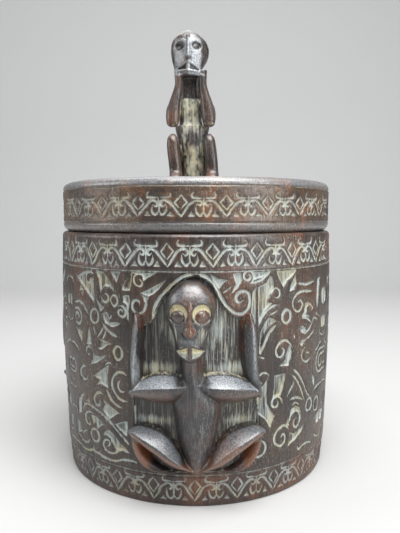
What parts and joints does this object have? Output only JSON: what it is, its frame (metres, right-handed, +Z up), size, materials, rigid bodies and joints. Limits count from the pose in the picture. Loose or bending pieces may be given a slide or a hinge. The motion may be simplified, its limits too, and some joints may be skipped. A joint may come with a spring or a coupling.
{
  "type": "lidded ritual container",
  "caption": "Carved wooden lidded container with squatting relief figures round its wall and a seated figure as the lid's handle.",
  "frame": {"origin": "middle of the floor disc's underside, on the surface that the container stands on", "axes": "+Z up along the container's axis, -Y to the front, where the main relief figure and the finial look, +X to the right as the front is looked at"},
  "size_m": [0.2147, 0.2181, 0.317],
  "materials": {
    "wall_wood": "dark stained hardwood, carved, worn semi-gloss with pale residue in the cuts",
    "floor_wood": "plain dark hardwood plank, dull",
    "lid_wood": "dark stained hardwood, carved, worn semi-gloss, browner than the wall",
    "finial_wood": "dark hardwood, hand polished on the face, dull greenish residue on the trunk",
    "peg_wood": "plain hardwood, knife cut"
  },
  "bodies": {
    "container": {"container_wall": "wall_wood", "floor_disc": "floor_wood"},
    "lid": {"lid": "lid_wood", "finial_figure": "finial_wood", "finial_peg": "peg_wood"}
  },
  "joints": [
    {"name": "lid_lift", "type": "slide", "parent": "container", "child": "lid", "axis": [0, 0, 1], "range_m": [0, 0.15]}
  ]
}
